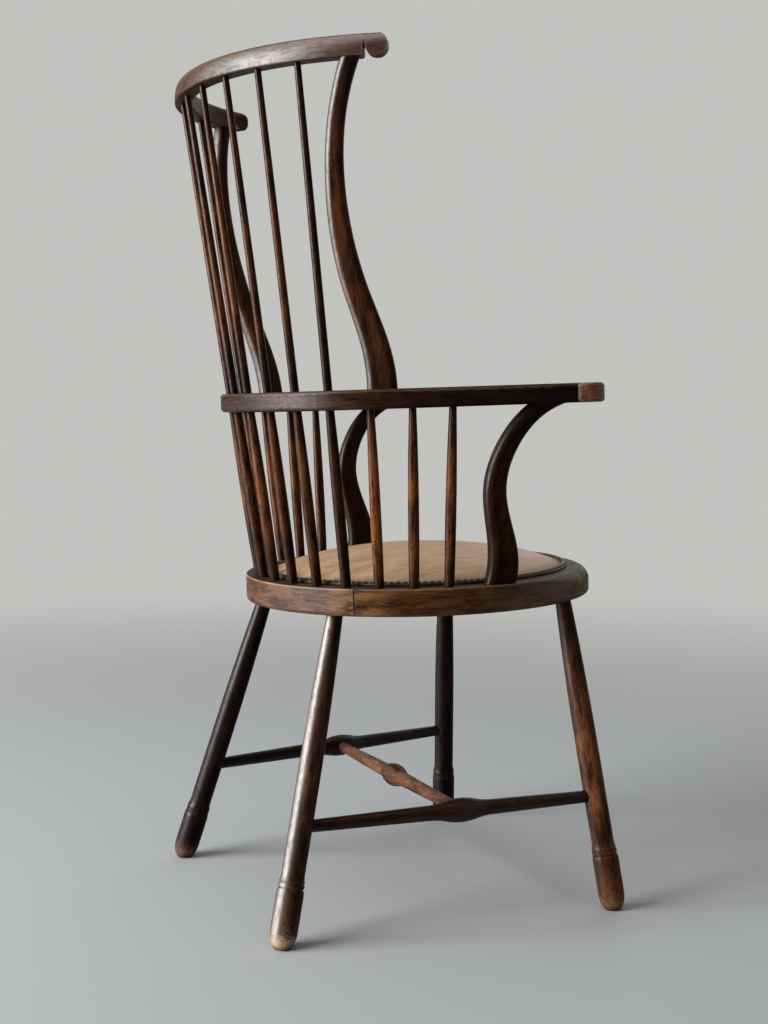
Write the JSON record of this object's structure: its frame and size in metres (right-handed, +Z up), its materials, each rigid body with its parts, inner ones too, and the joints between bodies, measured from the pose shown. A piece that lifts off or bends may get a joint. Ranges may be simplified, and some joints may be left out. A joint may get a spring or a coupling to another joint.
{
  "type": "spindle back dining chair",
  "caption": "Wooden armchair with a fan of tall spindles under a curved comb rail, a bent arm bow, a round leather-padded seat with nail trim, and turned splayed legs.",
  "frame": {"origin": "floor level, in the middle of the chair's plan outline", "axes": "+Z up, the chair faces -Y, +X is the sitter's left"},
  "size_m": [0.584, 0.5894, 1.1306],
  "materials": {
    "stained_wood": "dark stain, waxed, satin",
    "seat_ring_wood": "worn stain, waxed, satin",
    "plain_beech": "bare, sanded",
    "seat_leather": "aged tan hide, semi-matt",
    "banding_leather": "aged brown hide, semi-matt",
    "antique_brass": "antiqued, dull",
    "curled_hair": "matt fibre",
    "hessian": "coarse plain weave",
    "jute_webbing": "coarse herringbone weave"
  },
  "bodies": {
    "root": {"arm_bow": "stained_wood", "arm_spindle_left_1": "stained_wood", "arm_spindle_left_2": "stained_wood", "arm_spindle_left_3": "stained_wood", "arm_spindle_right_1": "stained_wood", "arm_spindle_right_2": "stained_wood", "arm_spindle_right_3": "stained_wood", "arm_support_left": "stained_wood", "arm_support_right": "stained_wood", "back_spindle_1": "stained_wood", "back_spindle_2": "stained_wood", "back_spindle_3": "stained_wood", "back_spindle_4": "stained_wood", "back_spindle_5": "stained_wood", "back_spindle_6": "stained_wood", "back_spindle_7": "stained_wood", "back_spindle_8": "stained_wood", "comb_rail": "stained_wood", "comb_upright_left": "stained_wood", "comb_upright_right": "stained_wood", "cross_stretcher": "stained_wood", "hand_hold_left": "stained_wood", "hand_hold_right": "stained_wood", "leather_banding": "banding_leather", "leg_front_left": "stained_wood", "leg_front_right": "stained_wood", "leg_rear_left": "stained_wood", "leg_rear_right": "stained_wood", "seat_dowels": "plain_beech", "seat_hessian": "hessian", "seat_leather": "seat_leather", "seat_nails": "antique_brass", "seat_rail_back": "seat_ring_wood", "seat_rail_front": "seat_ring_wood", "seat_rail_left": "seat_ring_wood", "seat_rail_right": "seat_ring_wood", "seat_stuffing": "curled_hair", "side_stretcher_left": "stained_wood", "side_stretcher_right": "stained_wood", "webbing_across": "jute_webbing", "webbing_along": "jute_webbing"}
  },
  "joints": []
}
